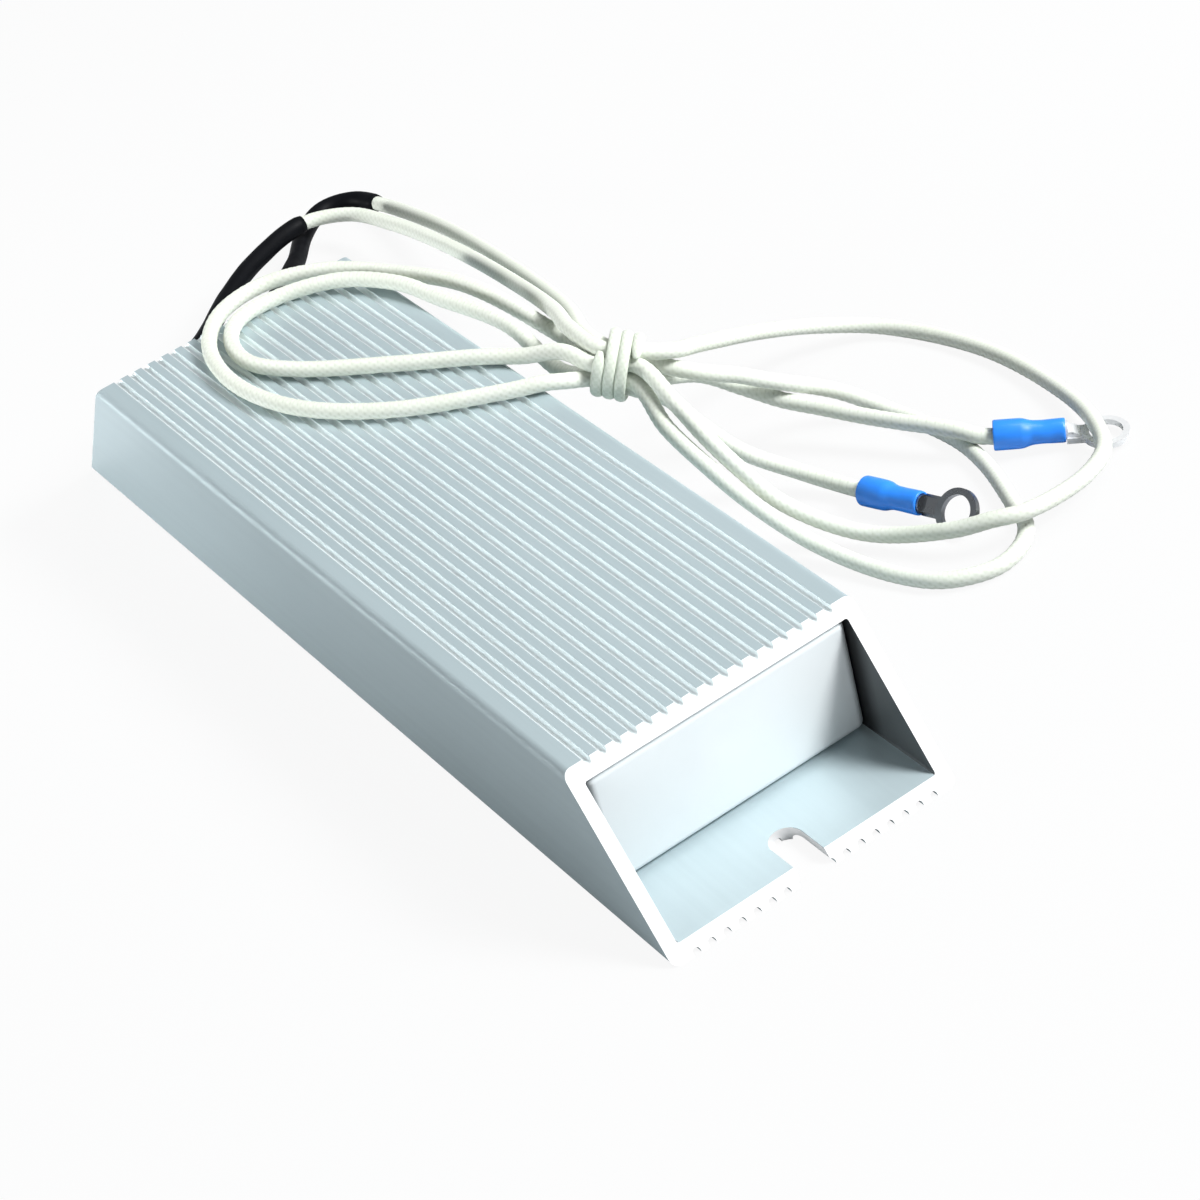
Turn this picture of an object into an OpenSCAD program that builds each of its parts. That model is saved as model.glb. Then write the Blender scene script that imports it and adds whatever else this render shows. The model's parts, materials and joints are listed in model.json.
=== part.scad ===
// Aluminium housed power resistor, ribbed trapezoid type, with two sleeved glass-braid leads.
// Origin: middle of the base. +X runs along the extrusion, +Y across it, +Z up. Millimetres.

/* [Housing] */
// Length over the base
body_l = 140; // [120:5:220]
// Width across the ribs
body_w = 40; // [36:1:56]
// Height of the extrusion
body_h = 20; // [18:1:28]
// Wall of the extruded tube
wall = 1.8; // [1.6:0.1:2.2]
// How far the slanting cut sets the top back from the base at each end
end_run = 14.5; // [12:0.5:18]

/* [Ribs] */
// Grooves on the top face, with as many on the underside
groove_count = 17; // [9:2:21]
// Width of a groove
groove_w = 1; // [0.8:0.1:1.2]
// Depth of a groove
groove_depth = 0.7; // [0.4:0.1:0.9]
// From the side of the housing to the middle of the first groove
foot_w = 3.3; // [2.8:0.1:4]

/* [Mounting slots] */
// Width of the open slot in each base lip
slot_w = 4.3; // [3.2:0.1:5.5]
// Depth of the slot from the end of the base
slot_depth = 7.5; // [5:0.5:9]

/* [End caps] */
// Sheet thickness of the pressed caps
cap_t = 1; // [0.8:0.1:1.2]
// How far the turned edge reaches into the housing
cap_skirt = 4; // [3:0.5:6]
// Outside radius of the pressed edge
cap_edge_r = 1.2; // [1:0.1:1.4]

/* [Resistance element] */
// Thickness of the two ceramic cores
core_t = 5; // [4:0.5:6]
// Diameter of the resistance wire
wire_d = 0.8; // [0.5:0.1:1]
// Turns on each core
turns = 14; // [8:1:18]
// Thickness of the two mica sheets
mica_t = 0.8; // [0.5:0.1:1]

/* [Leads] */
// Outside diameter of the glass braid
lead_d = 2.1; // [1.8:0.1:2.2]
// Diameter of the stranded conductor
conductor_d = 1.3; // [1:0.1:1.4]
// Wall of the black shrink sleeves
shrink_t = 0.3; // [0.2:0.05:0.4]

/* [Ring terminals] */
// Stud hole of the ring
stud_hole_d = 4.3; // [3.7:0.1:4.5]
// Outside diameter of the ring
ring_d = 6; // [5.6:0.1:7]
// Length of the blue insulating sleeve
terminal_sleeve_l = 9; // [8.5:0.5:11]

/* [Hidden] */
$fn = 48;

eps = 0.01;
mid_z = body_h / 2;
rear_x = -body_l / 2;
side_y = body_w / 2;

// Extrusion section
outer_r = 1.1;
cavity_w = body_w - 2 * wall;
cavity_h = body_h - 2 * wall;
cavity_r = 0.3;
groove_pitch = (body_w - 2 * foot_w) / (groove_count - 1);

// Caps stand upright, just behind the top lip of the slanting cut
cap_setback = 0.25;
cap_gap = 0.1;
cap_x = body_l / 2 - end_run * (body_h - wall) / body_h - cap_setback;
cap_w = cavity_w - 2 * cap_gap;
cap_h = cavity_h - 2 * cap_gap;
cap_inner_r = 0.5;

// Resistance element: two wound cores side by side between mica sheets
core_pitch = 0.4 * body_w;
core_w = 0.3 * body_w;
core_edge_r = 1.4;
wire_clear = 0.03;
wire_half_w = core_w / 2 + wire_d / 2 + wire_clear;
wire_half_t = core_t / 2 + wire_d / 2 + wire_clear;
wire_corner = 1;
mica_z = core_t / 2 + wire_d + 2 * wire_clear;
mica_w = core_pitch + core_w + 3;
pocket_clear = 0.1;
pocket_w = mica_w + 2 * pocket_clear;
pocket_h = 2 * (mica_z + mica_t + pocket_clear);

// One turn round a core, as corners cut to follow the rounded edges
turn_corners = [[wire_half_w - wire_corner, wire_half_t], [wire_half_w, wire_half_t - wire_corner],
                [wire_half_w, wire_corner - wire_half_t], [wire_half_w - wire_corner, -wire_half_t],
                [wire_corner - wire_half_w, -wire_half_t], [-wire_half_w, wire_corner - wire_half_t],
                [-wire_half_w, wire_half_t - wire_corner], [wire_corner - wire_half_w, wire_half_t]];

// Splices and bores in the cast filling
cast_gap = 0.05;
cast_corner_r = 1.4;
splice_x = -cap_x + 12;
ferrule_l = 8;
ferrule_d = 3;
crimp_l = 3.5;
pocket_rear_x = splice_x + ferrule_l;
pocket_front_x = cap_x - cap_skirt - 4;
core_rear_x = pocket_rear_x + 5;
core_front_x = pocket_front_x - 1;
wire_pitch = (core_front_x - core_rear_x - 3) / turns;

// Shrink sleeves and the holes they leave by
shrink_d = lead_d + 2 * shrink_t;
cap_hole_d = shrink_d + 0.3;

// Ring terminals, along their own X from the end of the lead's insulation
funnel_l = 3.4;
funnel_r = 1.95;
mouth_r = 1.6;
barrel_r = 1.2;
crimp_r = 1.55;
sleeve_end_x = terminal_sleeve_l - funnel_l;
barrel_l = sleeve_end_x + 0.3;
tongue_x = sleeve_end_x + 0.1;
ring_x = sleeve_end_x + 5;
tongue_t = 0.8;
tongue_w = 2.8;
terminal_1_roll = 45;

// Tie: turns of thin sleeving round the bundle
tie_centre = [rear_x + 66, side_y + 9.2, 19.5];
tie_yaw = 45;
tie_fall = 20;
tie_cord_t = 0.9;
tie_cord_w = 1.4;
tie_turns = 3;
tie_pitch = 1.5;
tie_ring_r = 2.5;
tie_inner_r = tie_ring_r + lead_d / 2 + 0.05;
tie_reach = 2.5;
tie_twist = 25;

// Lead routes. X counts from the rear of the base and Y from the right side wall.
// Z counts from the bench, or from the top face where a loop lies on it.
function from_floor(points) = [for (p = points) [rear_x + p[0], side_y + p[1], p[2]]];
function from_top(points) = [for (p = points) [rear_x + p[0], side_y + p[1], body_h + p[2]]];
function out_of_cap(y) = [[splice_x, y, mid_z], [-cap_x - 2.5, y, mid_z]];

// A strand's two places in the tie, by its angle in the bundle from the top round to the housing
function tie_point(along, angle) =
    let (ahead = [cos(tie_fall) * cos(tie_yaw), cos(tie_fall) * sin(tie_yaw), -sin(tie_fall)],
         beside = [sin(tie_yaw), -cos(tie_yaw), 0])
    tie_centre + along * ahead + tie_ring_r * (cos(angle) * cross(beside, ahead) + sin(angle) * beside);
function through_tie(angle, way) =
    [for (end = [-way, way]) tie_point(end * tie_reach, angle - (1 + end) * tie_twist / 2)];

lead_1_route = concat(
    out_of_cap(-core_pitch / 2),
    // behind the housing and up to the tie
    from_floor([[5, -26, 9.6], [-3, -17, 8.2], [-11.5, -9, 6.8], [-17.5, -1, 6.2],
                [-22, 9.7, 5.3], [-19, 15.5, 5], [-8.5, 17.5, 6.5], [12, 16.5, 11],
                [36.5, 13, 17], [51, 10, 20.8], [58.5, 7.7, 22.6]]),
    through_tie(15, 1),
    // wide loop on the bench
    from_floor([[68.8, 15.6, 19.3], [66.2, 21.2, 16], [62, 33, 9.5], [60.2, 43, 4],
                [64, 50.3, 1.4], [78, 55.5, 1.2], [93.8, 55.4, 1.8], [104.6, 52.2, 3.2],
                [109.9, 48.8, 3.6], [111.8, 44.6, 3.5], [112.6, 39.2, 3.8], [112.7, 33.6, 4.6],
                [110.9, 30.2, 4.6], [107.6, 26.5, 3.6], [98, 20.1, 2.2], [90, 14.6, 6],
                [86, 12, 10.8], [82, 10.5, 14.8], [77, 10, 18.1]]),
    through_tie(68, -1),
    // inner loop on the top face
    from_top([[61.5, 4.4, 2.2], [56.5, 1.3, 1.1], [52, -2.5, 1.1], [44, -10.7, 1.1],
              [34, -20, 1.1], [27.5, -23.2, 1.1], [21, -22.2, 1.1], [17.3, -18.7, 1.1],
              [17.2, -12, 1.1], [21.4, -5, 1.5], [28.8, -0.3, 1.5], [36, 1.6, 1.1],
              [48.2, 4.5, 0.4], [57.5, 5.4, -3]]),
    through_tie(176, 1),
    // from the tie to the ring terminal
    from_floor([[71.5, 12.3, 14.8], [74.1, 14, 11.4], [78, 17.2, 6.8], [82.5, 22, 3],
                [89, 25.2, 1.7], [94.2, 26.6, 2.2]]));

lead_2_route = concat(
    out_of_cap(core_pitch / 2),
    from_floor([[3, -9.5, 9.7], [-7.3, -1.4, 7.2], [-17.5, 5.3, 3.2], [-25, 10.5, 1.6],
                [-28.8, 15.2, 1.4], [-28.8, 18.4, 1.4], [-26.8, 20.8, 1.6], [-22, 22, 2.3],
                [-2, 22, 6.2], [28, 18, 12.6], [48, 13.5, 17.6], [57.5, 10, 20.3]]),
    through_tie(286, 1),
    // narrow loop on the bench
    from_floor([[70.2, 17.7, 15.4], [71.5, 22.4, 12.8], [72.6, 26.3, 10.2], [74.8, 34.8, 4.6],
                [80, 39, 1.4], [91, 40.5, 1.2], [98, 39.5, 1.2], [106.8, 36.5, 1.2],
                [111.3, 34.7, 1.2], [114, 31.5, 1.2], [114.8, 27, 1.2], [112, 21.5, 1.2],
                [106, 18, 1.2], [95.5, 14.5, 2.6], [88.5, 10.6, 8.2], [83.5, 8.8, 12.2],
                [77.5, 7.8, 15.8]]),
    through_tie(121, -1),
    // outer loop on the top face
    from_top([[64.9, 2.2, 0.5], [63.9, -0.4, 1.2], [62.7, -2.5, 1.2], [61, -5, 1.1], [52.4, -16.6, 1.1],
              [41.7, -24.4, 1.1], [30, -27, 1.1], [19.5, -24.8, 1.1], [13.7, -19.5, 1.1],
              [12.6, -12.2, 1.1], [17, -4.5, 1.1], [25.5, 1, 1.1], [34, 5, 1.1],
              [41, 6.8, 0.6], [53.8, 9.5, -2.3]]),
    through_tie(231, 1),
    from_floor([[66.4, 20.2, 11.8], [69.2, 24.2, 8.8], [72.7, 27.4, 6.6], [77, 30.4, 5.6],
                [81.5, 33.2, 4.8], [86.4, 36, 4.4], [89.8, 38, 4.2], [92.8, 40, 3.7],
                [95, 41.7, 2.9], [98, 45.4, 2.6]]));

// Points of each route that lie inside its shrink sleeve
shrink_1_points = 7;
shrink_2_points = 10;
lead_sides = 8;
wire_sides = 6;

function unit(v) = v / norm(v);
function first_of(list, count) = [for (i = [0 : count - 1]) list[i]];
function reversed(list) = [for (i = [len(list) - 1 : -1 : 0]) list[i]];
function mirrored_y(list) = [for (p = list) [p[0], -p[1], p[2]]];

// Direction of a route at point i, halfway between the stretches that meet there
function heading(route, i) =
    i == 0 ? unit(route[1] - route[0]) :
    i == len(route) - 1 ? unit(route[i] - route[i - 1]) :
    unit(unit(route[i + 1] - route[i]) + unit(route[i] - route[i - 1]));

// A side direction carried along the route without twisting
function carried(side, direction) = unit(side - (side * direction) * direction);
function sides_along(route, side) =
    [for (i = 0, s = carried(side, heading(route, 0)); i < len(route);
          i = i + 1, s = carried(s, heading(route, min(i, len(route) - 1)))) s];

function rings(route, r, count) =
    let (s = sides_along(route, [0, 0, 1]))
    [for (i = [0 : len(route) - 1], k = [0 : count - 1])
        let (up = s[i], across = cross(heading(route, i), up), a = 360 * (k + 0.5) / count)
        route[i] + r * (cos(a) * up + sin(a) * across)];

function tube_walls(ring_count, count, start) =
    [for (i = [0 : ring_count - 2], k = [0 : count - 1])
        let (a = start + i * count, b = a + count, n = (k + 1) % count)
        each [[a + k, b + k, b + n], [a + k, b + n, a + n]]];

module swept_rod(route, d, count) {
    last = (len(route) - 1) * count;
    polyhedron(rings(route, d / 2, count),
               concat([[for (k = [0 : count - 1]) k]],
                      tube_walls(len(route), count, 0),
                      [[for (k = [count - 1 : -1 : 0]) last + k]]));
}

// Covers the first stretch of a route and has its corners at those of the rod inside
module swept_sleeve(route, ring_count, d_out, d_in, count) {
    inner = ring_count * count;
    last = inner - count;
    polyhedron(concat(first_of(rings(route, d_out / 2, count), inner),
                      first_of(rings(route, d_in / 2, count), inner)),
               concat(tube_walls(ring_count, count, 0),
                      [for (f = tube_walls(ring_count, count, inner)) reversed(f)],
                      [for (k = [0 : count - 1])
                          let (n = (k + 1) % count) [k, n, inner + n, inner + k]],
                      [for (k = [0 : count - 1])
                          let (n = (k + 1) % count)
                          [last + n, last + k, inner + last + k, inner + last + n]]));
}

module rounded_rect(w, h, r) {
    square([w - 2 * r, h], center = true);
    square([w, h - 2 * r], center = true);
    for (x = [-1, 1], y = [-1, 1])
        translate([x * (w / 2 - r), y * (h / 2 - r)]) circle(r);
}

// Extrudes a section drawn across the housing along X, from x0 to x1
module along_x(x0, x1) {
    translate([x0, 0, mid_z]) rotate([90, 0, 90]) linear_extrude(x1 - x0) children();
}

module block_x(x0, x1, w, h) {
    translate([x0, -w / 2, mid_z - h / 2]) cube([x1 - x0, w, h]);
}

module bore_x(x0, x1, y, d) {
    translate([x0, y, mid_z]) rotate([0, 90, 0]) cylinder(h = x1 - x0, d = d);
}

module groove() {
    translate([-groove_w / 2, -groove_depth + groove_w / 2]) square([groove_w, groove_depth]);
    translate([0, -groove_depth + groove_w / 2]) circle(d = groove_w);
}

module housing_section() {
    difference() {
        rounded_rect(body_w, body_h, outer_r);
        rounded_rect(cavity_w, cavity_h, cavity_r);
        for (i = [0 : groove_count - 1], face = [0, 1])
            translate([foot_w - body_w / 2 + i * groove_pitch, 0])
                mirror([0, face]) translate([0, body_h / 2]) groove();
    }
}

module end_slot() {
    centre_x = body_l / 2 - slot_depth + slot_w / 2;
    translate([centre_x, 0, -1]) cylinder(h = wall + 2, d = slot_w);
    translate([centre_x, -slot_w / 2, -1]) cube([slot_depth, slot_w, wall + 2]);
}

module housing() {
    color([0.72, 0.79, 0.81]) difference() {
        intersection() {
            along_x(-body_l / 2, body_l / 2) housing_section();
            rotate([90, 0, 0]) linear_extrude(body_w + 2, center = true)
                polygon([[-body_l / 2, 0], [body_l / 2, 0],
                         [body_l / 2 - end_run, body_h], [end_run - body_l / 2, body_h]]);
        }
        end_slot();
        mirror([1, 0, 0]) end_slot();
    }
}

// Pressed cap with its face towards +X and rounded front edges
module pressed_cap() {
    back_x = cap_x - cap_skirt;
    edge_x = cap_x - cap_edge_r;
    flat_w = cap_w - 2 * cap_edge_r;
    flat_h = cap_h - 2 * cap_edge_r;
    difference() {
        union() {
            along_x(back_x, edge_x) rounded_rect(cap_w, cap_h, cap_edge_r);
            block_x(back_x, cap_x, flat_w, flat_h);
            for (z = [-1, 1])
                translate([edge_x, 0, mid_z + z * flat_h / 2]) rotate([90, 0, 0])
                    cylinder(h = flat_w, r = cap_edge_r, center = true);
            for (y = [-1, 1])
                translate([edge_x, y * flat_w / 2, mid_z])
                    cylinder(h = flat_h, r = cap_edge_r, center = true);
            for (y = [-1, 1], z = [-1, 1])
                translate([edge_x, y * flat_w / 2, mid_z + z * flat_h / 2]) sphere(cap_edge_r);
        }
        along_x(back_x - 1, cap_x - cap_t)
            rounded_rect(cap_w - 2 * cap_t, cap_h - 2 * cap_t, cap_inner_r);
    }
}

module end_cap_front() {
    color([0.86, 0.92, 0.93]) pressed_cap();
}

module end_cap_rear() {
    color([0.86, 0.92, 0.93]) difference() {
        mirror([1, 0, 0]) pressed_cap();
        for (y = [-1, 1])
            bore_x(-cap_x - 1, -cap_x + cap_t + 1, y * core_pitch / 2, cap_hole_d);
    }
}

// Cast between the caps, round the splices and the wound cores
module cement_fill() {
    skirt_x = cap_x - cap_skirt;
    color([0.87, 0.86, 0.82]) difference() {
        union() {
            along_x(-skirt_x, skirt_x) rounded_rect(cavity_w, cavity_h, cast_corner_r);
            along_x(-cap_x + cap_t, cap_x - cap_t)
                rounded_rect(cap_w - 2 * (cap_t + cast_gap), cap_h - 2 * (cap_t + cast_gap),
                             cap_inner_r);
        }
        block_x(pocket_rear_x, pocket_front_x, pocket_w, pocket_h);
        for (y = [-1, 1]) {
            bore_x(-cap_x, splice_x, y * core_pitch / 2, shrink_d + 2 * cast_gap);
            bore_x(splice_x - eps, pocket_rear_x + eps, y * core_pitch / 2,
                   ferrule_d + 2 * cast_gap);
        }
    }
}

module ceramic_core(side) {
    color([0.9, 0.88, 0.83]) translate([0, side * core_pitch / 2, 0])
        along_x(core_rear_x, core_front_x) rounded_rect(core_w, core_t, core_edge_r);
}

function winding(y) =
    [for (i = [0 : 8 * turns])
        let (c = turn_corners[i % 8])
        [core_rear_x + 1.5 + wire_pitch * i / 8, y + c[0], mid_z + c[1]]];

// Up one core and back down the other, so both ends leave at the rear
half_wire = concat([[splice_x + ferrule_l - crimp_l, -core_pitch / 2, mid_z],
                    [pocket_rear_x + 1, -core_pitch / 2, mid_z],
                    [core_rear_x - 0.5, -core_pitch / 2, mid_z + wire_half_t]],
                   winding(-core_pitch / 2));

module resistance_wire() {
    color([0.55, 0.53, 0.5])
        swept_rod(concat(half_wire, reversed(mirrored_y(half_wire))), wire_d, wire_sides);
}

module mica_sheet(side) {
    z = side > 0 ? mica_z : -mica_z - mica_t;
    color([0.78, 0.7, 0.55])
        translate([pocket_rear_x + pocket_clear, -mica_w / 2, mid_z + z])
            cube([pocket_front_x - pocket_rear_x - 2 * pocket_clear, mica_w, mica_t]);
}

module splice_ferrule(side) {
    color([0.7, 0.7, 0.68]) difference() {
        bore_x(splice_x, splice_x + ferrule_l, side * core_pitch / 2, ferrule_d);
        bore_x(splice_x - 1, splice_x + ferrule_l + 1, side * core_pitch / 2,
               conductor_d + 2 * cast_gap);
    }
}

// Puts X along the last stretch of a route, from the route's end
module at_end(route, roll) {
    last = len(route) - 1;
    d = route[last] - route[last - 1];
    translate(route[last]) rotate([0, -asin(d[2] / norm(d)), atan2(d[1], d[0])])
        rotate([roll, 0, 0]) children();
}

// Braided lead with its conductor bared into the splice and into the terminal
module lead(route) {
    color([0.9, 0.92, 0.87]) {
        swept_rod(route, lead_d, lead_sides);
        bore_x(splice_x - eps, splice_x + crimp_l, route[0][1], conductor_d);
        at_end(route, 0) translate([-eps, 0, 0]) rotate([0, 90, 0])
            cylinder(h = sleeve_end_x - 1.5, d = conductor_d);
    }
}

module shrink_sleeve(route, ring_count) {
    color([0.06, 0.06, 0.07])
        swept_sleeve(route, ring_count, shrink_d, lead_d, lead_sides);
}

module ring_terminal() {
    tongue_z = -barrel_r;
    slope_w = 2 * barrel_r - 0.4;
    color([0.45, 0.45, 0.46]) difference() {
        union() {
            translate([0.2, 0, 0]) rotate([0, 90, 0]) cylinder(h = barrel_l - 0.2, r = barrel_r);
            // crimped end sloping down into the tongue
            translate([0, slope_w / 2, 0]) rotate([90, 0, 0]) linear_extrude(slope_w)
                polygon([[tongue_x, tongue_z], [ring_x - 3, tongue_z],
                         [ring_x - 3, tongue_z + tongue_t], [tongue_x + 0.8, 0.3],
                         [tongue_x, 0.3]]);
            translate([tongue_x, -tongue_w / 2, tongue_z])
                cube([ring_x - tongue_x - stud_hole_d / 2, tongue_w, tongue_t]);
            translate([ring_x, 0, tongue_z]) cylinder(h = tongue_t, d = ring_d);
        }
        translate([ring_x, 0, tongue_z - 1]) cylinder(h = tongue_t + 2, d = stud_hole_d);
        translate([-1, 0, 0]) rotate([0, 90, 0])
            cylinder(h = sleeve_end_x, d = conductor_d + 2 * cast_gap);
    }
}

module terminal_sleeve() {
    throat_r = barrel_r + cast_gap;
    color([0.1, 0.42, 0.85]) rotate([0, 90, 0]) rotate_extrude()
        polygon([[mouth_r, -funnel_l], [funnel_r - 0.1, -funnel_l], [funnel_r, 0.15 - funnel_l],
                 [funnel_r, 0.2], [crimp_r, 1.6], [crimp_r, sleeve_end_x - 0.4],
                 [crimp_r - 0.1, sleeve_end_x], [throat_r, sleeve_end_x], [throat_r, 0.1],
                 [mouth_r, -0.6]]);
}

// Turns of thin sleeving pulled tight round the six passes of the leads
module flattened_cord() {
    side = (tie_cord_w - tie_cord_t) / 2;
    square([tie_cord_t, 2 * side], center = true);
    for (end = [-1, 1]) translate([0, end * side]) circle(d = tie_cord_t);
}

module lead_tie() {
    color([0.9, 0.92, 0.87]) translate(tie_centre) rotate([0, 90 + tie_fall, tie_yaw])
        for (i = [0 : tie_turns - 1])
            translate([0, 0, (i - (tie_turns - 1) / 2) * tie_pitch]) rotate_extrude()
                translate([tie_inner_r + tie_cord_t / 2, 0]) flattened_cord();
}

housing();
end_cap_front();
end_cap_rear();
cement_fill();
ceramic_core(-1);  // ceramic_core_1
ceramic_core(1);  // ceramic_core_2
resistance_wire();
mica_sheet(1);  // mica_sheet_upper
mica_sheet(-1);  // mica_sheet_lower
splice_ferrule(-1);  // splice_ferrule_1
splice_ferrule(1);  // splice_ferrule_2
lead(lead_1_route);  // lead_1
lead(lead_2_route);  // lead_2
shrink_sleeve(lead_1_route, shrink_1_points);  // shrink_sleeve_1
shrink_sleeve(lead_2_route, shrink_2_points);  // shrink_sleeve_2
at_end(lead_1_route, terminal_1_roll) ring_terminal();  // ring_terminal_1
at_end(lead_2_route, 0) ring_terminal();  // ring_terminal_2
at_end(lead_1_route, 0) terminal_sleeve();  // terminal_sleeve_1
at_end(lead_2_route, 0) terminal_sleeve();  // terminal_sleeve_2
lead_tie();
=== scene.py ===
import json
import math

import bmesh
import bpy
from mathutils import Matrix, Vector, noise


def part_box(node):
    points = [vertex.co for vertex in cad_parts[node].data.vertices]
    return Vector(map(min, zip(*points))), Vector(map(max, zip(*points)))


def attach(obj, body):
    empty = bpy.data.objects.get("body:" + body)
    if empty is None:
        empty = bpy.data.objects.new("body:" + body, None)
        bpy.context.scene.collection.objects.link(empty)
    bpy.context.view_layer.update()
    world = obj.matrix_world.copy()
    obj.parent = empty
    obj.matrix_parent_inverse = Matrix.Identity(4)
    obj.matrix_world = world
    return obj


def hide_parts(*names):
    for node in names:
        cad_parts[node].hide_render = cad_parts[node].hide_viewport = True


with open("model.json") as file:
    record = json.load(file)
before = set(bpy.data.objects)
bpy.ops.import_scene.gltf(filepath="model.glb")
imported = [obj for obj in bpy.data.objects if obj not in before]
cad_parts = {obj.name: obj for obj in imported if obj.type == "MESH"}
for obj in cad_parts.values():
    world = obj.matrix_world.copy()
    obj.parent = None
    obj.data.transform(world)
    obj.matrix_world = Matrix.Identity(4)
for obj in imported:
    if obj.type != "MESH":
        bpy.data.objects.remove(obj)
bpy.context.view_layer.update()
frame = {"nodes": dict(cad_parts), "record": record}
nodes = frame["nodes"]
scene = bpy.context.scene
mm = 0.001

housingLow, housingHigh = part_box("housing")
rearX, sideY, topZ = housingLow[0], housingHigh[1], housingHigh[2]
print("frame loaded")

camera = {
    "place": (0.31277, -0.13294, 0.25362),
    "right": (0.5579, 0.8034, -0.2079),
    "up": (-0.4133, 0.4862, 0.7699),
    "lens": 101.7,
    "sensor": 36,
    "clip": (0.02, 20),
}

camData = bpy.data.cameras.new("studioCamera")
camData.lens = camera["lens"]
camData.sensor_width = camera["sensor"]
camData.clip_start, camData.clip_end = camera["clip"]
cam = bpy.data.objects.new("studioCamera", camData)
scene.collection.objects.link(cam)
camRight = Vector(camera["right"]).normalized()
camBack = camRight.cross(Vector(camera["up"])).normalized()
camUp = camBack.cross(camRight)
camTurn = Matrix((camRight, camUp, camBack)).transposed().to_4x4()
cam.matrix_world = Matrix.Translation(camera["place"]) @ camTurn
scene.camera = cam
print("camera placed")


def newMaterial(name):
    mat = bpy.data.materials.new(name)
    mat.use_nodes = True
    mat.node_tree.nodes.clear()
    return mat, mat.node_tree


def addNode(tree, kind, values=None, **options):
    node = tree.nodes.new(kind)
    for key, value in options.items():
        setattr(node, key, value)
    for key, value in (values or {}).items():
        node.inputs[key].default_value = value
    return node


def principled(tree, **values):
    shader = tree.nodes.new("ShaderNodeBsdfPrincipled")
    for key, value in values.items():
        shader.inputs[key.replace("_", " ")].default_value = value
    out = tree.nodes.new("ShaderNodeOutputMaterial")
    tree.links.new(shader.outputs[0], out.inputs["Surface"])
    return shader


def mathNode(tree, operation, a, b=0.0):
    node = addNode(tree, "ShaderNodeMath", operation=operation)
    for socket, value in zip(node.inputs, (a, b)):
        if isinstance(value, (int, float)):
            socket.default_value = value
        else:
            tree.links.new(value, socket)
    return node.outputs[0]


def sizeOf(tree, value):
    return mathNode(tree, "ABSOLUTE", value)


def allOf(tree, first, *more):
    for value in more:
        first = mathNode(tree, "MULTIPLY", first, value)
    return first


def axesOf(tree, vector):
    split = tree.nodes.new("ShaderNodeSeparateXYZ")
    tree.links.new(vector, split.inputs[0])
    return split.outputs[0], split.outputs[1], split.outputs[2]


def mixColour(tree, factor, a, b):
    node = addNode(tree, "ShaderNodeMix", data_type="RGBA")
    for socket, value in ((node.inputs[0], factor), (node.inputs[6], a), (node.inputs[7], b)):
        if isinstance(value, (int, float)):
            socket.default_value = value
        elif isinstance(value, tuple):
            socket.default_value = (*value, 1)
        else:
            tree.links.new(value, socket)
    return node.outputs[2]


def rangeNode(tree, value, low, high, toLow, toHigh):
    node = tree.nodes.new("ShaderNodeMapRange")
    for socket, limit in zip(node.inputs[1:5], (low, high, toLow, toHigh)):
        socket.default_value = limit
    tree.links.new(value, node.inputs[0])
    return node.outputs[0]


def noiseNode(tree, scale, detail=3.0, roughness=0.5, stretch=(1, 1, 1)):
    coords = tree.nodes.new("ShaderNodeTexCoord")
    mapping = addNode(tree, "ShaderNodeMapping", {"Scale": stretch})
    tex = addNode(tree, "ShaderNodeTexNoise", {"Scale": scale, "Detail": detail, "Roughness": roughness})
    tree.links.new(coords.outputs["Object"], mapping.inputs[0])
    tree.links.new(mapping.outputs[0], tex.inputs["Vector"])
    return tex.outputs["Fac"]


# a noise's middle range stretched over two values
def contrast(tree, cloud, toLow=0, toHigh=1):
    return rangeNode(tree, cloud, 0.3, 0.7, toLow, toHigh)


def bumpNode(tree, height, strength, distance):
    node = addNode(tree, "ShaderNodeBump", {"Strength": strength, "Distance": distance})
    tree.links.new(height, node.inputs["Height"])
    return node.outputs[0]


housingFinish = {
    "metallic": 0.35,
    "roughness": (0.36, 0.44),
    "bump": 0.25,
    "bumpDepth": 0.00004,
    "linesInBump": 0.7,
    "dieLines": (900, 2, 0.6, (0.006, 1, 1)),
    "haze": (35, 4, 0.55, (0.4, 1, 1)),
    "grain": (2600, 2, 0.6),
    "sawLines": (1500, 2, 0.6, (1, 0.05, 1)),
    "skin": ((0.44, 0.535, 0.565), (0.48, 0.575, 0.605)),
    "dieLine": (0.41, 0.50, 0.53),
    "dieLineShare": 0.25,
    # pale colour painted into the top grooves as a highlight
    "groove": (0.90, 0.96, 0.97),
    "sawn": ((0.84, 0.85, 0.85), (0.88, 0.88, 0.88)),
    # a very dark colour painted on the side walls inside the recesses as shade
    "recessShade": ((0.08, 0.088, 0.092), (0.105, 0.116, 0.12)),
    # near black colour painted on the walls beside the end caps as the shadow in the gap
    "jointShadow": (0.02, 0.022, 0.024),
    "wall": 0.0018,
    "edge": 0.0012,
    "grooveMiddle": 0.0006,
    "grooveReach": 0.00052,
    "slotHalf": 0.0022,
    "slotDepth": 0.0017,
    # span of the painted shadow beside the end caps
    "jointShadowStart": 0.0128,
    "jointShadowEnd": 0.0104,
}


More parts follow.
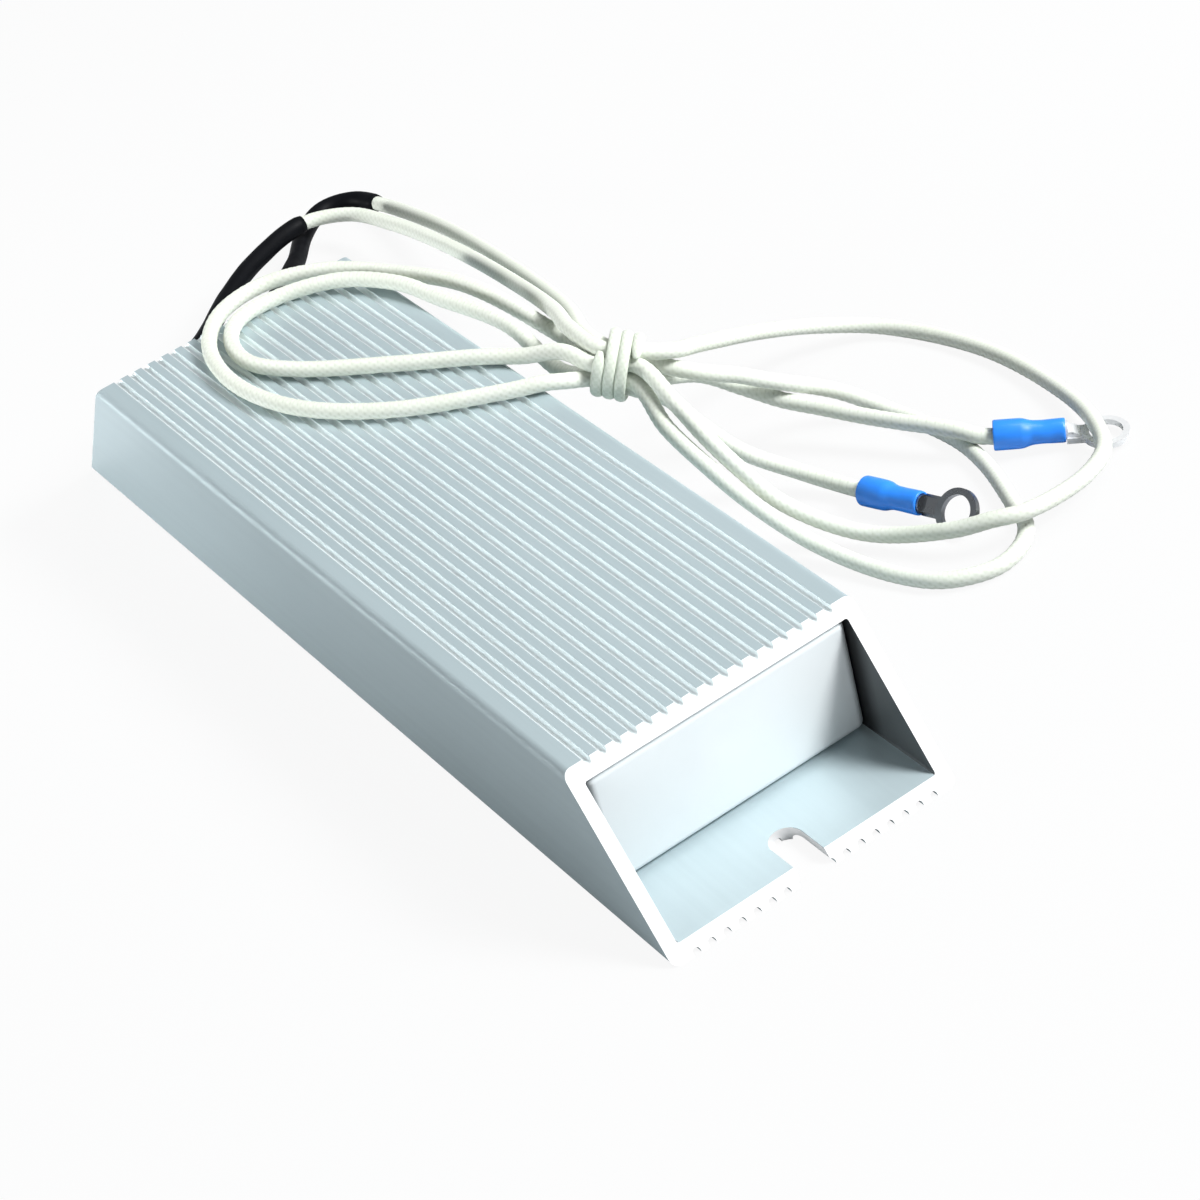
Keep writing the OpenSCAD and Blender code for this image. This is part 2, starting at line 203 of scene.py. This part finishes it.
def extrudedAluminium():
    h = housingFinish
    mat, tree = newMaterial("extrudedAluminium")
    shader = principled(tree, Metallic=h["metallic"])
    dieLines = noiseNode(tree, *h["dieLines"])
    haze = noiseNode(tree, *h["haze"])
    grain = noiseNode(tree, *h["grain"])
    sawLines = noiseNode(tree, *h["sawLines"])
    geometry = tree.nodes.new("ShaderNodeNewGeometry")
    alongNormal, acrossNormal = axesOf(tree, geometry.outputs["True Normal"])[:2]
    x, y, z = axesOf(tree, geometry.outputs["Position"])

    skin = mixColour(tree, contrast(tree, haze), *h["skin"])
    lineShare = rangeNode(tree, dieLines, 0.35, 0.65, 0, h["dieLineShare"])
    skin = mixColour(tree, lineShare, skin, h["dieLine"])

    # the side walls inside the recesses get a very dark colour, a painted shade, with a painted shadow
    # darkest at the end caps
    inside = mathNode(tree, "LESS_THAN", sizeOf(tree, y), sideY - h["edge"])
    sideways = mathNode(tree, "GREATER_THAN", sizeOf(tree, acrossNormal), 0.35)
    fromMiddle = sizeOf(tree, mathNode(tree, "SUBTRACT", z, topZ / 2))
    level = mathNode(tree, "LESS_THAN", fromMiddle, topZ / 2 - h["wall"])
    # a painted shadow in the gap between wall and end cap, fading away from the cap
    fromEnd = mathNode(tree, "ADD", sizeOf(tree, x), rearX)
    jointShadow = rangeNode(tree, fromEnd, -h["jointShadowStart"], -h["jointShadowEnd"], 1, 0)
    recessShade = mixColour(tree, jointShadow, mixColour(tree, haze, *h["recessShade"]), h["jointShadow"])
    skin = mixColour(tree, allOf(tree, sideways, inside, level), skin, recessShade)

    # the grooves on top get a pale colour, a painted highlight along each groove
    fromGroove = sizeOf(tree, mathNode(tree, "SUBTRACT", z, topZ - h["grooveMiddle"]))
    groove = mathNode(tree, "LESS_THAN", fromGroove, h["grooveReach"])
    skin = mixColour(tree, allOf(tree, groove, inside), skin, h["groove"])

    # bare metal: the saw-cut ends, the milled slots and the strip of the base between them
    cut = mathNode(tree, "GREATER_THAN", sizeOf(tree, alongNormal), 0.6)
    inSlot = mathNode(tree, "LESS_THAN", sizeOf(tree, y), h["slotHalf"])
    inLip = mathNode(tree, "LESS_THAN", z, h["slotDepth"])
    cut = mathNode(tree, "MAXIMUM", cut, allOf(tree, inSlot, inLip))
    bare = mixColour(tree, sawLines, *h["sawn"])
    tree.links.new(mixColour(tree, cut, skin, bare), shader.inputs["Base Color"])

    tree.links.new(contrast(tree, haze, *h["roughness"]), shader.inputs["Roughness"])
    lines = mathNode(tree, "MULTIPLY", dieLines, h["linesInBump"])
    specks = mathNode(tree, "MULTIPLY", grain, 1 - h["linesInBump"])
    relief = mathNode(tree, "ADD", lines, specks)
    tree.links.new(bumpNode(tree, relief, h["bump"], h["bumpDepth"]), shader.inputs["Normal"])
    return mat


capFinish = {
    "metallic": 0.2,
    "roughness": (0.42, 0.52),
    "bump": 0.15,
    "bumpDepth": 0.00003,
    "grain": (1800, 3, 0.6),
    "haze": (60, 3),
    "colour": ((0.77, 0.825, 0.845), (0.81, 0.86, 0.875)),
}


def pressedAluminium():
    c = capFinish
    mat, tree = newMaterial("pressedAluminium")
    shader = principled(tree, Metallic=c["metallic"])
    grain = noiseNode(tree, *c["grain"])
    haze = noiseNode(tree, *c["haze"])
    colour = mixColour(tree, contrast(tree, haze), *c["colour"])
    tree.links.new(colour, shader.inputs["Base Color"])
    tree.links.new(contrast(tree, grain, *c["roughness"]), shader.inputs["Roughness"])
    tree.links.new(bumpNode(tree, grain, c["bump"], c["bumpDepth"]), shader.inputs["Normal"])
    return mat


braidFinish = {
    "roughness": 0.72,
    "specular": 0.35,
    "sheen": 0.15,
    "soil": (160, 3, 0.5),
    "fibre": (9000, 2, 0.6),
    "bump": 0.2,
    "bumpDepth": 0.00003,
    "soiled": (0.95, 0.965, 0.93),  # share of the light colour that is left where the braid is handled
    # each pair is the yarn colour and a darker colour painted as shade in the hollows between the yarns
    "lead": ((0.77, 0.80, 0.74), (0.54, 0.58, 0.49)),
    "tie": ((0.75, 0.79, 0.72), (0.48, 0.54, 0.43)),
}


def glassBraid(name, light, shade):
    b = braidFinish
    mat, tree = newMaterial(name)
    shader = principled(tree, Roughness=b["roughness"], Specular_IOR_Level=b["specular"],
                        Sheen_Weight=b["sheen"])
    weave = addNode(tree, "ShaderNodeAttribute", attribute_name="weave")
    soil = noiseNode(tree, *b["soil"])
    fibre = noiseNode(tree, *b["fibre"])
    handled = tuple(c * k for c, k in zip(light, b["soiled"]))
    pale = mixColour(tree, rangeNode(tree, soil, 0.35, 0.65, 0, 1), light, handled)
    # the low parts of the weave take the darker colour, a painted shade between the yarns
    height = rangeNode(tree, weave.outputs["Fac"], 0, 1, 0, 1)
    tree.links.new(mixColour(tree, height, shade, pale), shader.inputs["Base Color"])
    tree.links.new(bumpNode(tree, fibre, b["bump"], b["bumpDepth"]), shader.inputs["Normal"])
    return mat


# a clouded colour with a little swing in roughness and a fine bump
def plain(name, colour, roughness, metallic=0.0, scale=400, swing=0.06, bump=0.1, **more):
    mat, tree = newMaterial(name)
    shader = principled(tree, Metallic=metallic, **more)
    cloud = noiseNode(tree, scale, 3, 0.55)
    fine = noiseNode(tree, scale * 8, 2, 0.6)
    darker = tuple(c * (1 - swing) for c in colour)
    clouded = mixColour(tree, contrast(tree, cloud), colour, darker)
    tree.links.new(clouded, shader.inputs["Base Color"])
    gloss = contrast(tree, cloud, roughness - 0.05, roughness + 0.05)
    tree.links.new(gloss, shader.inputs["Roughness"])
    tree.links.new(bumpNode(tree, fine, bump, 0.00003), shader.inputs["Normal"])
    return mat


finishes = {
    "housing_aluminium": extrudedAluminium(),
    "cap_aluminium": pressedAluminium(),
    "cement": plain("castCement", (0.80, 0.79, 0.74), 0.9, scale=300, swing=0.12, bump=0.5),
    "core_ceramic": plain("coreCeramic", (0.86, 0.84, 0.78), 0.75, scale=300, bump=0.3),
    "resistance_alloy": plain("resistanceAlloy", (0.42, 0.40, 0.38), 0.35, 1.0),
    "mica": plain("micaSheet", (0.70, 0.62, 0.46), 0.35, scale=120, swing=0.2),
    "tinned_metal": plain("tinnedBright", (0.88, 0.89, 0.90), 0.3, 0.5),
    "glass_braid": glassBraid("glassBraid", *braidFinish["lead"]),
    "tie_sleeving": glassBraid("tieSleeving", *braidFinish["tie"]),
    "black_shrink": plain("blackShrink", (0.004, 0.0045, 0.006), 0.5, scale=500, swing=0.3, bump=0.15,
                          Specular_IOR_Level=0.06),
    "blue_insulation": plain("blueInsulation", (0.03, 0.27, 0.98), 0.33, scale=300, swing=0.12),
}
tinnedDark = plain("tinnedDark", (0.30, 0.31, 0.33), 0.3, 1.0, swing=0.2)
print("finishes made")


# route points in millimetres, from the rear end, the side where the leads lie and the floor or the top
def fromFloor(points):
    return [(rearX + x * mm, sideY + y * mm, z * mm) for x, y, z in points]


def fromTop(points):
    return [(rearX + x * mm, sideY + y * mm, topZ + z * mm) for x, y, z in points]


lead = {
    "diameter": 0.0021,
    "spliceX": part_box("splice_ferrule_1")[0][0],
    "capX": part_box("end_cap_rear")[0][0],
    "holeY": 0.008,
    "midZ": 0.010,
    "rowPitch": 0.00058,
    "rowSteps": 4,
    "yarns": 7,
    "relief": 0.000075,
    "sunk": 0.6,
    "sides": 16,
    "stub": 0.0025,
    "cordStep": 0.002,
}


def outOfCap(side):
    y = side * lead["holeY"]
    return [(lead["spliceX"], y, lead["midZ"]), (lead["capX"] - lead["stub"], y, lead["midZ"])]


tie = {
    "centre": (66, 9.2, 19.5),
    "yaw": 45,
    "fall": 20,
    "ringRadius": 2.5,
    "reach": 2.5,
    "twist": 25,
    "turns": 3,
    "pitch": 0.0015,
    "thick": 0.0009,
    "wide": 0.0015,
    "innerRadius": 0.0036,
    "yarns": 6,
    "rowPitch": 0.0005,
    "rowSteps": 4,
    "relief": 0.00006,
    "sunk": 0.6,
    "sides": 16,
    "startAngle": 2.2,
    "tuckRows": 14,
    "tuckSize": 0.35,
}
tieYaw = Matrix.Rotation(math.radians(tie["yaw"]), 3, "Z")
tieTurn = tieYaw @ Matrix.Rotation(math.radians(tie["fall"]), 3, "Y")


# a strand's two places in the tie, by its angle in the bundle from the top round to the housing
def throughTie(angle, way):
    centre = Vector(fromFloor([tie["centre"]])[0])
    places = []
    for end in (-way, way):
        a = math.radians(angle - (1 + end) * tie["twist"] / 2)
        sideways, up = -math.sin(a) * tie["ringRadius"], math.cos(a) * tie["ringRadius"]
        local = Vector((end * tie["reach"], sideways, up))
        places.append(tuple(centre + tieTurn @ local * mm))
    return places


routes = {
    "lead_1": outOfCap(-1)
    + fromFloor([(5, -26, 9.6), (-3, -17, 8.2), (-11.5, -9, 6.8), (-17.5, -1, 6.2),
                 (-22, 9.7, 5.3), (-19, 15.5, 5), (-8.5, 17.5, 6.5), (12, 16.5, 11),
                 (36.5, 13, 17), (51, 10, 20.8), (58.5, 7.7, 22.6)])
    + throughTie(15, 1)
    + fromFloor([(68.8, 15.6, 19.3), (66.2, 21.2, 16), (62, 33, 9.5), (60.2, 43, 4),
                 (64, 50.3, 1.4), (78, 55.5, 1.2), (93.8, 55.4, 1.8), (104.6, 52.2, 3.2),
                 (109.9, 48.8, 3.6), (111.8, 44.6, 3.5), (112.6, 39.2, 3.8), (112.7, 33.6, 4.6),
                 (110.9, 30.2, 4.6), (107.6, 26.5, 3.6), (98, 20.1, 2.2), (90, 14.6, 6),
                 (86, 12, 10.8), (82, 10.5, 14.8), (77, 10, 18.1)])
    + throughTie(68, -1)
    + fromTop([(61.5, 4.4, 2.2), (56.5, 1.3, 1.1), (52, -2.5, 1.1), (44, -10.7, 1.1),
               (34, -20, 1.1), (27.5, -23.2, 1.1), (21, -22.2, 1.1), (17.3, -18.7, 1.1),
               (17.2, -12, 1.1), (21.4, -5, 1.5), (28.8, -0.3, 1.5), (36, 1.6, 1.1),
               (48.2, 4.5, 0.4), (57.5, 5.4, -3)])
    + throughTie(176, 1)
    + fromFloor([(71.5, 12.3, 14.8), (74.1, 14, 11.4), (78, 17.2, 6.8), (82.5, 22, 3),
                 (89, 25.2, 1.7), (94.2, 26.6, 2.2)]),
    "lead_2": outOfCap(1)
    + fromFloor([(3, -9.5, 9.7), (-7.3, -1.4, 7.2), (-17.5, 5.3, 3.2), (-25, 10.5, 1.6),
                 (-28.8, 15.2, 1.4), (-28.8, 18.4, 1.4), (-26.8, 20.8, 1.6), (-22, 22, 2.3),
                 (-2, 22, 6.2), (28, 18, 12.6), (48, 13.5, 17.6), (57.5, 10, 20.3)])
    + throughTie(286, 1)
    + fromFloor([(70.2, 17.7, 15.4), (71.5, 22.4, 12.8), (72.6, 26.3, 10.2), (74.8, 34.8, 4.6),
                 (80, 39, 1.4), (91, 40.5, 1.2), (98, 39.5, 1.2), (106.8, 36.5, 1.2),
                 (111.3, 34.7, 1.2), (114, 31.5, 1.2), (114.8, 27, 1.2), (112, 21.5, 1.2),
                 (106, 18, 1.2), (95.5, 14.5, 2.6), (88.5, 10.6, 8.2), (83.5, 8.8, 12.2),
                 (77.5, 7.8, 15.8)])
    + throughTie(121, -1)
    + fromTop([(64.9, 2.2, 0.5), (63.9, -0.4, 1.2), (62.7, -2.5, 1.2), (61, -5, 1.1),
               (52.4, -16.6, 1.1), (41.7, -24.4, 1.1), (30, -27, 1.1), (19.5, -24.8, 1.1),
               (13.7, -19.5, 1.1), (12.6, -12.2, 1.1), (17, -4.5, 1.1), (25.5, 1, 1.1),
               (34, 5, 1.1), (41, 6.8, 0.6), (53.8, 9.5, -2.3)])
    + throughTie(231, 1)
    + fromFloor([(66.4, 20.2, 11.8), (69.2, 24.2, 8.8), (72.7, 27.4, 6.6), (77, 30.4, 5.6),
                 (81.5, 33.2, 4.8), (86.4, 36, 4.4), (89.8, 38, 4.2), (92.8, 40, 3.7),
                 (95, 41.7, 2.9), (98, 45.4, 2.6)]),
}


# a centripetal curve through the route's points
def smoothRoute(points, step, cuts=24):
    pts = [Vector(p) for p in points]
    pts = [pts[0] * 2 - pts[1]] + pts + [pts[-1] * 2 - pts[-2]]
    dense = []
    for a, b, c, d in zip(pts, pts[1:], pts[2:], pts[3:]):
        t1 = (b - a).length ** 0.5
        t2 = t1 + (c - b).length ** 0.5
        t3 = t2 + (d - c).length ** 0.5
        for i in range(cuts):
            t = t1 + (t2 - t1) * i / cuts
            ab = a.lerp(b, t / t1)
            bc = b.lerp(c, (t - t1) / (t2 - t1))
            cd = c.lerp(d, (t - t2) / (t3 - t2))
            before, after = ab.lerp(bc, t / t2), bc.lerp(cd, (t - t1) / (t3 - t1))
            dense.append(before.lerp(after, (t - t1) / (t2 - t1)))
    dense.append(pts[-2])
    return evenly(dense, step)


def evenly(dense, step):
    lengths = [0.0]
    for a, b in zip(dense, dense[1:]):
        lengths.append(lengths[-1] + (b - a).length)
    count = max(2, round(lengths[-1] / step))
    out, k = [], 0
    for i in range(count + 1):
        want = lengths[-1] * i / count
        while k < len(lengths) - 2 and lengths[k + 1] < want:
            k += 1
        span = lengths[k + 1] - lengths[k]
        share = (want - lengths[k]) / span if span else 0
        out.append(dense[k].lerp(dense[k + 1], share))
    return out


def lengthOf(path):
    return sum((b - a).length for a, b in zip(path, path[1:]))


def framesAlong(path):
    side = Vector((0, 0, 1))
    out = []
    for i, p in enumerate(path):
        following, previous = path[min(i + 1, len(path) - 1)], path[max(i - 1, 0)]
        ahead = (following - previous).normalized()
        side = (side - ahead * side.dot(ahead)).normalized()
        out.append((p, ahead, side, ahead.cross(side)))
    return out


# closed skin over rings of points, which keeps the height of the weave for its finish to paint shade
# between the yarns
def ringSkin(name, rings, shades, faceOut=False):
    sides = len(rings[0])
    faces = []
    for i in range(len(rings) - 1):
        for k in range(sides):
            n = (k + 1) % sides
            faces.append((i * sides + k, i * sides + n, (i + 1) * sides + n, (i + 1) * sides + k))
    last = (len(rings) - 1) * sides
    faces.append(tuple(range(sides - 1, -1, -1)))
    faces.append(tuple(range(last, last + sides)))
    mesh = bpy.data.meshes.new(name)
    mesh.from_pydata([point for ring in rings for point in ring], [], faces)
    if shades:
        layer = mesh.attributes.new("weave", "FLOAT", "POINT")
        layer.data.foreach_set("value", shades)
    if faceOut:
        bm = bmesh.new()
        bm.from_mesh(mesh)
        bmesh.ops.recalc_face_normals(bm, faces=bm.faces)
        bm.to_mesh(mesh)
        bm.free()
    mesh.polygons.foreach_set("use_smooth", [len(p.vertices) == 4 for p in mesh.polygons])
    mesh.update()
    return linked(name, mesh)


def linked(name, mesh):
    obj = bpy.data.objects.new(name, mesh)
    scene.collection.objects.link(obj)
    return obj


def tube(name, path, radiusAt, sides, shadeAt=None):
    rings, shades = [], []
    run = 0.0
    frames = framesAlong(path)
    for i, (p, ahead, up, across) in enumerate(frames):
        if i:
            run += (p - frames[i - 1][0]).length
        ring = []
        for k in range(sides):
            a = 2 * math.pi * (k + 0.5) / sides
            r = radiusAt(run, a)
            ring.append(p + up * (r * math.cos(a)) + across * (r * math.sin(a)))
            if shadeAt:
                shades.append(shadeAt(run, a))
        rings.append(ring)
    return ringSkin(name, rings, shades)


# two crossing sets of yarns, each over two and under two
def braidHeight(run, angle, pitch, yarns):
    u = run / pitch / 2 + angle * yarns / (2 * math.pi)
    v = run / pitch / 2 - angle * yarns / (2 * math.pi)
    over = (math.floor(u) + math.floor(v)) % 2 == 0
    across = (u if over else v) % 1.0
    along = (v if over else u) % 1.0
    return (1 - (2 * across - 1) ** 2) ** 0.5 * (0.55 + 0.45 * math.sin(math.pi * along))


def dress(obj, slotName, *cadNodes):
    obj.data.materials.clear()
    obj.data.materials.append(finishes[slotName])
    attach(obj, "root")
    if cadNodes:
        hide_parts(*cadNodes)
    return obj


paths = {}
for name, points in routes.items():
    path = smoothRoute(points, lead["rowPitch"] / lead["rowSteps"])
    paths[name] = path
    core = lead["diameter"] / 2 - lead["relief"] * lead["sunk"]

    def height(run, a):
        return braidHeight(run, a, lead["rowPitch"], lead["yarns"])

    def radius(run, a):
        return core + lead["relief"] * height(run, a)

    skin = tube(name + "Braid", path, radius, lead["sides"], height)
    dress(skin, "glass_braid", name)
    print(name, "length", round(lengthOf(path), 4))


shrink = {
    "radius": 0.00135,
    "ends": {"lead_1": 7, "lead_2": 10},  # route points that the sleeves reach
    "nodes": {"lead_1": "shrink_sleeve_1", "lead_2": "shrink_sleeve_2"},
    "step": 0.0008,
    "sides": 20,
    "lipLength": 0.0006,
    "lipDrop": 0.00012,
    "waveHeight": 0.00005,
    "wavesAlong": 260,
    "wavesRound": 1.3,
}


def pathUpTo(path, point):
    point = Vector(point)
    best = min(range(len(path)), key=lambda i: (path[i] - point).length)
    return path[: best + 1]


def shrinkSkin(name):
    s = shrink
    path = evenly(pathUpTo(paths[name], routes[name][s["ends"][name] - 1]), s["step"])
    total = lengthOf(path)

    def outer(run, a):
        lip = min(1.0, (total - run) / s["lipLength"])
        spot = Vector((run * s["wavesAlong"], math.cos(a) * s["wavesRound"], math.sin(a) * s["wavesRound"]))
        wave = s["waveHeight"] * noise.noise(spot)
        return s["radius"] - s["lipDrop"] * (1 - lip) + wave

    skin = tube(s["nodes"][name] + "Skin", path, outer, s["sides"])
    return dress(skin, "black_shrink", s["nodes"][name])


sleeves = {name: shrinkSkin(name) for name in shrink["ends"]}
print("leads and sleeves made")


terminal = {
    "length": 0.009,
    "funnelLength": 0.0034,
    "funnelRadius": 0.00195,
    "crimpRadius": 0.00155,
    "throatRadius": 0.00125,
    "mouthRadius": 0.0016,
    "pressX": 0.0028,
    "pressReach": 0.0009,
    "pressWide": 0.05,
    "pressFlat": 0.08,
    "wall": 0.0002,
    "sides": 40,
}


def endMatrix(points):
    last, before = Vector(points[-1]), Vector(points[-2])
    d = last - before
    yaw = math.atan2(d.y, d.x)
    pitch = -math.asin(d.z / d.length)
    return Matrix.Translation(last) @ Matrix.Rotation(yaw, 4, "Z") @ Matrix.Rotation(pitch, 4, "Y")


# funnel at the lead's side, a shoulder, the crimped barrel and the bore back through it
def sleeveProfile():
    t = terminal
    backX, endX = -t["funnelLength"], t["length"] - t["funnelLength"]
    f, c = t["funnelRadius"], t["crimpRadius"]
    outside = [(backX, f - 0.00012), (backX + 0.00008, f - 0.00003), (backX + 0.0002, f), (-0.0012, f),
               (0.0, f - 0.00002), (0.0004, f - 0.00008), (0.0009, f - 0.00024), (0.0013, c + 0.00005)]
    outside += [(0.0017 + 0.0005 * i, c) for i in range(7)]
    outside += [(endX - 0.0005, c + 0.00002), (endX - 0.0002, c), (endX - 0.00006, c - 0.00004),
                (endX, c - 0.00012)]
    inside = [(endX, t["throatRadius"]), (0.0001, t["throatRadius"]),
              (-0.0006, t["mouthRadius"]), (backX, t["mouthRadius"])]
    return outside + inside


def blueSleeve(name, matrix, cadNode):
    t = terminal
    sides = t["sides"]
    endX = t["length"] - t["funnelLength"]
    bm = bmesh.new()
    rings = []
    for x, r in sleeveProfile():
        # the crimping tool leaves an oval waist in the outside, short of its far edge
        outer = r >= t["crimpRadius"] - t["wall"] and x < endX
        press = math.exp(-((x - t["pressX"]) / t["pressReach"]) ** 2) if outer else 0
        wide, high = r * (1 + t["pressWide"] * press), r * (1 - t["pressFlat"] * press)
        ring = []
        for k in range(sides):
            a = 2 * math.pi * k / sides
            ring.append(bm.verts.new((x, wide * math.sin(a), high * math.cos(a))))
        rings.append(ring)
    for one, two in zip(rings, rings[1:] + rings[:1]):
        for k in range(sides):
            bm.faces.new((one[k], one[(k + 1) % sides], two[(k + 1) % sides], two[k]))
    bmesh.ops.recalc_face_normals(bm, faces=bm.faces)
    bm.transform(matrix)
    mesh = bpy.data.meshes.new(name)
    bm.to_mesh(mesh)
    bm.free()
    mesh.polygons.foreach_set("use_smooth", [True] * len(mesh.polygons))
    return dress(linked(name, mesh), "blue_insulation", cadNode)


blues = {
    "lead_1": blueSleeve("blueSleeve1", endMatrix(routes["lead_1"]), "terminal_sleeve_1"),
    "lead_2": blueSleeve("blueSleeve2", endMatrix(routes["lead_2"]), "terminal_sleeve_2"),
}
print("terminals made")


# one run of sleeving wound round the bundle, pressed flat against the strands
def tieWrap():
    centre = Vector(fromFloor([tie["centre"]])[0])
    middle = tie["innerRadius"] + tie["thick"] / 2
    length = 2 * math.pi * middle * tie["turns"]
    rows = round(length / (tie["rowPitch"] / tie["rowSteps"]))
    rings, shades = [], []
    for i in range(rows + 1):
        turn = i / rows * tie["turns"]
        a = 2 * math.pi * turn + tie["startAngle"]
        along = (turn - tie["turns"] / 2) * tie["pitch"]
        run = i / rows * length
        # the two ends taper where they are tucked in
        free = min(1, i / tie["tuckRows"], (rows - i) / tie["tuckRows"]) ** 0.5
        taper = tie["tuckSize"] + (1 - tie["tuckSize"]) * free
        ring = []
        for k in range(tie["sides"]):
            b = 2 * math.pi * (k + 0.5) / tie["sides"]
            height = braidHeight(run, b, tie["rowPitch"], tie["yarns"])
            grow = tie["relief"] * (height - tie["sunk"])
            out = middle + (tie["thick"] / 2 * taper + grow) * math.cos(b)
            side = along + (tie["wide"] / 2 * taper + grow) * math.sin(b)
            ring.append(centre + tieTurn @ Vector((side, out * math.cos(a), out * math.sin(a))))
            shades.append(height)
        rings.append(ring)
    return dress(ringSkin("tieWrap", rings, shades, faceOut=True), "tie_sleeving", "lead_tie")


wrap = tieWrap()
print("tie made")

for name, side in (("lead_1", -1), ("lead_2", 1)):
    coarse = evenly(paths[name], lead["cordStep"])

# the solids that show as they are get their finish, one ring terminal a darker one
for part in frame["record"]["subparts"]:
    node = nodes[part["node"]]
    if node.hide_render:
        continue
    dark = part["node"] == "ring_terminal_1"
    node.data.materials.clear()
    node.data.materials.append(tinnedDark if dark else finishes[part["material_slot"]])
print("finishes put on")


# place, target, size and power of each lamp
lamps = {
    "keyLight": ((0.0, 0.62, 1.05), (0.02, 0.02, 0), (0.5, 0.5), 4.5),
    "sideLight": ((-0.22, -0.34, 0.07), (-0.085, -0.02, 0.004), (0.08, 0.08), 0.06),
    "sideFill": ((0.25, -0.60, 0.12), (0.03, 0, 0.01), (0.4, 0.2), 1.2),
    "frontLight": ((0.50, 0.64, 0.74), (0.06, 0, 0.01), (0.34, 0.34), 18),
}
lampSpread = {"sideLight": 34}


def areaLight(name, place, target, size, power):
    data = bpy.data.lights.new(name, "AREA")
    data.shape = "RECTANGLE"
    data.size, data.size_y = size
    data.energy = power
    if name in lampSpread:
        data.spread = math.radians(lampSpread[name])
    obj = linked(name, data)
    obj.location = place
    obj.rotation_mode = "QUATERNION"
    obj.rotation_quaternion = (Vector(target) - Vector(place)).to_track_quat("-Z", "Y")


for name, (place, target, size, power) in lamps.items():
    areaLight(name, place, target, size, power)

# the object is lit by a dim world, bare metal mirrors a brighter one and the camera sees white
backdrop = {
    "lit": ((0.93, 0.97, 1, 1), 0.14),
    "mirrored": ((0.95, 0.98, 1, 1), 0.32),
    "seen": ((1, 1, 1, 1), 1.0),
}


def seenDirectly(tree, rays):
    return mathNode(tree, "MAXIMUM", rays.outputs["Is Camera Ray"], rays.outputs["Is Transmission Ray"])


def mixShaders(tree, factor, first, second):
    mix = tree.nodes.new("ShaderNodeMixShader")
    for socket, value in zip(mix.inputs, (factor, first, second)):
        tree.links.new(value, socket)
    return mix.outputs[0]


world = bpy.data.worlds.new("studioWorld")
scene.world = world
world.use_nodes = True
tree = world.node_tree
tree.nodes.clear()
rays = tree.nodes.new("ShaderNodeLightPath")
glow = {}
for name, (colour, strength) in backdrop.items():
    glow[name] = addNode(tree, "ShaderNodeBackground", {"Color": colour, "Strength": strength}).outputs[0]
unseen = mixShaders(tree, rays.outputs["Is Glossy Ray"], glow["lit"], glow["mirrored"])
out = tree.nodes.new("ShaderNodeOutputWorld")
tree.links.new(mixShaders(tree, seenDirectly(tree, rays), unseen, glow["seen"]), out.inputs[0])

floorSheet = {
    "half": 3.0,
    "paper": (0.52, 0.53, 0.54, 1),
    "whiteShare": 0.92,  # what is left keeps the object's shadow
}

s = floorSheet["half"]
mesh = bpy.data.meshes.new("floor")
mesh.from_pydata([(-s, -s, 0), (s, -s, 0), (s, s, 0), (-s, s, 0)], [], [(0, 1, 2, 3)])
floor = linked("floor", mesh)
floorMat, tree = newMaterial("floorPaper")
paper = addNode(tree, "ShaderNodeBsdfDiffuse", {"Color": floorSheet["paper"]})
white = addNode(tree, "ShaderNodeEmission", {"Color": (1, 1, 1, 1), "Strength": 1.0})
rays = tree.nodes.new("ShaderNodeLightPath")
share = mathNode(tree, "MULTIPLY", seenDirectly(tree, rays), floorSheet["whiteShare"])
out = tree.nodes.new("ShaderNodeOutputMaterial")
tree.links.new(mixShaders(tree, share, paper.outputs[0], white.outputs[0]), out.inputs[0])
mesh.materials.append(floorMat)

scene.view_settings.view_transform = "Standard"
print("studio made")
